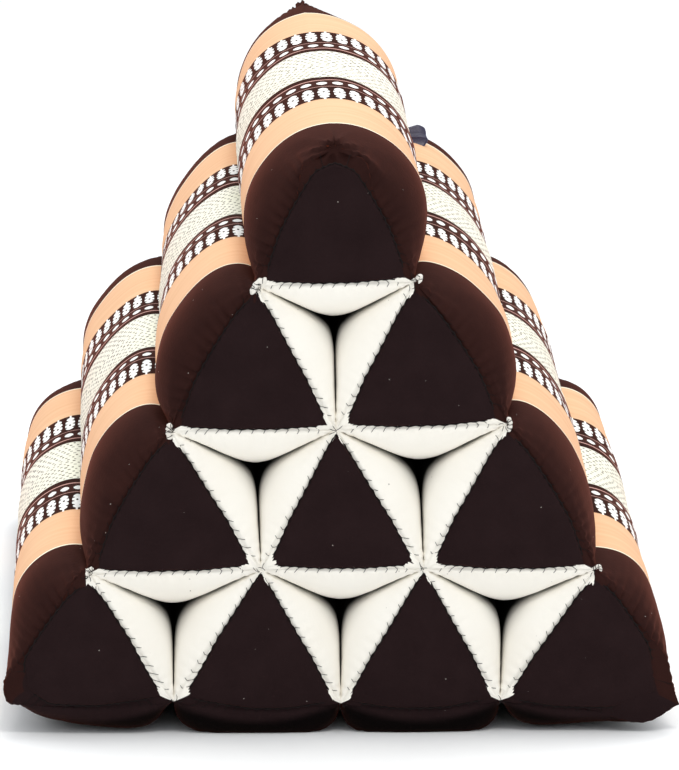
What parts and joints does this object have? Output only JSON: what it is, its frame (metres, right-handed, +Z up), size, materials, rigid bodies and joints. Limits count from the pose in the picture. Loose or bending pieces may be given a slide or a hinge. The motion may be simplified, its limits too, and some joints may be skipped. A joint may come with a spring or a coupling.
{
  "type": "thai triangle cushion",
  "caption": "Triangular floor cushion of stuffed cloth tubes sewn together along their edges, with striped outer lobes, dark end panels and white inner walls.",
  "frame": {"origin": "under the middle of the prism, on the surface that it stands on", "axes": "+Z up, +Y along the tubes towards the back, +X to the right as seen from the front end"},
  "size_m": [0.3444, 0.5, 0.3084],
  "materials": {
    "striped_cotton": "matte woven stripes",
    "natural_cotton": "matte, undyed, lightly slubbed",
    "brown_cotton": "matte plain weave",
    "sewing_thread": "matte twisted thread",
    "navy_ribbon": "satin woven ribbon"
  },
  "bodies": {
    "root": {"tube_row1_1": "striped_cotton", "tube_row2_1": "striped_cotton", "tube_row2_2": "striped_cotton", "tube_row3_1": "striped_cotton", "tube_row3_2": "natural_cotton", "tube_row3_3": "striped_cotton", "tube_row4_1": "striped_cotton", "tube_row4_2": "natural_cotton", "tube_row4_3": "natural_cotton", "tube_row4_4": "striped_cotton", "front_panel_row1_1": "brown_cotton", "front_panel_row2_1": "brown_cotton", "front_panel_row2_2": "brown_cotton", "front_panel_row3_1": "brown_cotton", "front_panel_row3_2": "brown_cotton", "front_panel_row3_3": "brown_cotton", "front_panel_row4_1": "brown_cotton", "front_panel_row4_2": "brown_cotton", "front_panel_row4_3": "brown_cotton", "front_panel_row4_4": "brown_cotton", "back_panel_row1_1": "brown_cotton", "back_panel_row2_1": "brown_cotton", "back_panel_row2_2": "brown_cotton", "back_panel_row3_1": "brown_cotton", "back_panel_row3_2": "brown_cotton", "back_panel_row3_3": "brown_cotton", "back_panel_row4_1": "brown_cotton", "back_panel_row4_2": "brown_cotton", "back_panel_row4_3": "brown_cotton", "back_panel_row4_4": "brown_cotton", "side_tab": "navy_ribbon"}
  },
  "joints": []
}
